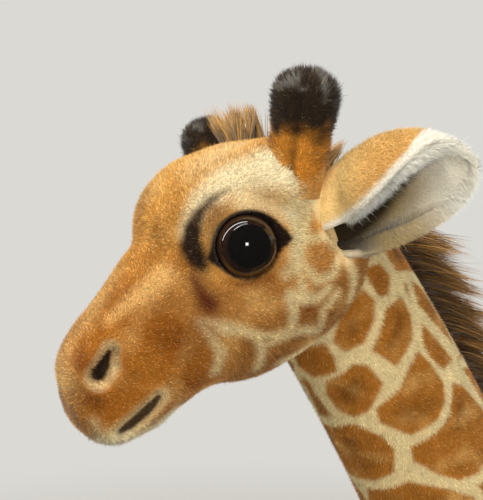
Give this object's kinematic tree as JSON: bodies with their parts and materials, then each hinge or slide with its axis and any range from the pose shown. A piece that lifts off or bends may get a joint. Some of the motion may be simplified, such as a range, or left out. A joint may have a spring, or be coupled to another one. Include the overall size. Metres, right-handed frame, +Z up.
{
  "type": "plush giraffe",
  "caption": "Standing stuffed plush giraffe with a leaning neck, cupped ears that flex on their seams, horns, crest mane, domed eyes and a hanging tufted tail.",
  "frame": {"origin": "on the ground under the middle of the toy's outline", "axes": "+Z up, the giraffe faces -Y, its left side is +X"},
  "size_m": [0.0986, 0.3016, 0.3984],
  "materials": {
    "spotted_plush": "short cut pile, matt, airbrushed orange-brown patches on cream",
    "hoof_plush": "short dark pile, matt",
    "horn_plush": "short pile, tan at the base, black-brown and fuzzy above",
    "ear_plush": "short tan pile, matt",
    "lining_plush": "soft white pile, matt",
    "long_pile": "long dark brown pile with golden tips",
    "eye_dome": "clear polished dome over a brown ring and a black pupil",
    "eye_backing": "black moulded backing and stem",
    "washer_plastic": "natural white moulded washer",
    "steel_wire": "drawn wire"
  },
  "bodies": {
    "stuffed_body": {"torso": "spotted_plush", "neck": "spotted_plush", "head": "spotted_plush", "front_left_leg": "spotted_plush", "front_left_hoof": "hoof_plush", "front_right_leg": "spotted_plush", "front_right_hoof": "hoof_plush", "rear_left_leg": "spotted_plush", "rear_left_hoof": "hoof_plush", "rear_right_leg": "spotted_plush", "rear_right_hoof": "hoof_plush", "left_horn": "horn_plush", "left_eye_lens": "eye_dome", "left_eye_backing": "eye_backing", "left_eye_washer": "washer_plastic", "right_horn": "horn_plush", "right_eye_lens": "eye_dome", "right_eye_backing": "eye_backing", "right_eye_washer": "washer_plastic", "mane": "long_pile", "forelock": "long_pile", "wire_frame": "steel_wire"},
    "left_ear": {"left_ear_back": "ear_plush", "left_ear_lining": "lining_plush"},
    "right_ear": {"right_ear_back": "ear_plush", "right_ear_lining": "lining_plush"},
    "tail": {"tail_cord": "spotted_plush", "tail_tuft": "long_pile"}
  },
  "joints": [
    {"name": "left_ear_flex", "type": "hinge", "parent": "stuffed_body", "child": "left_ear", "pos_m": [0.024, -0.08542, 0.36412], "axis": [0, 0.515, -0.8572], "range_deg": [-20, 25], "stiffness_Nm_per_rad": 0.02},
    {"name": "right_ear_flex", "type": "hinge", "parent": "stuffed_body", "child": "right_ear", "pos_m": [-0.024, -0.08542, 0.36412], "axis": [0, -0.515, 0.8572], "range_deg": [-20, 25], "stiffness_Nm_per_rad": 0.02},
    {"name": "tail_lift", "type": "hinge", "parent": "stuffed_body", "child": "tail", "pos_m": [0, 0.13128, 0.194], "axis": [1, 0, 0], "range_deg": [-5, 75]}
  ]
}
